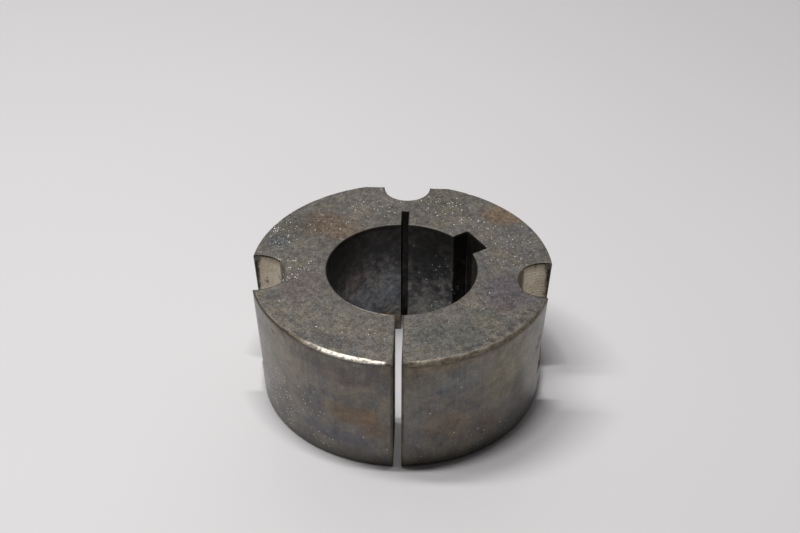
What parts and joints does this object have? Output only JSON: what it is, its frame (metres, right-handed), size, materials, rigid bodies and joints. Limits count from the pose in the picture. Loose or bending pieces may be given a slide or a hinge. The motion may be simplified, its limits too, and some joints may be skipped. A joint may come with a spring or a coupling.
{
  "type": "split taper bush",
  "caption": "Short tapered iron sleeve, split along one side, with a keyed bore and half-round screw notches in its wide end, that clamps a pulley hub to a shaft.",
  "frame": {"origin": "on the bore axis, in the plane of the small end's face, which the bush stands on", "axes": "+Z runs along the bore from the small end to the big end; the split faces -Y and the jacking notch faces +Y"},
  "size_m": [0.0696, 0.0683, 0.0318],
  "materials": {
    "dark_iron": "machined iron, dull and mottled with oil stain and light rust, bright where the rim is worn"
  },
  "bodies": {
    "root": {"taper_bush": "dark_iron"}
  },
  "joints": []
}
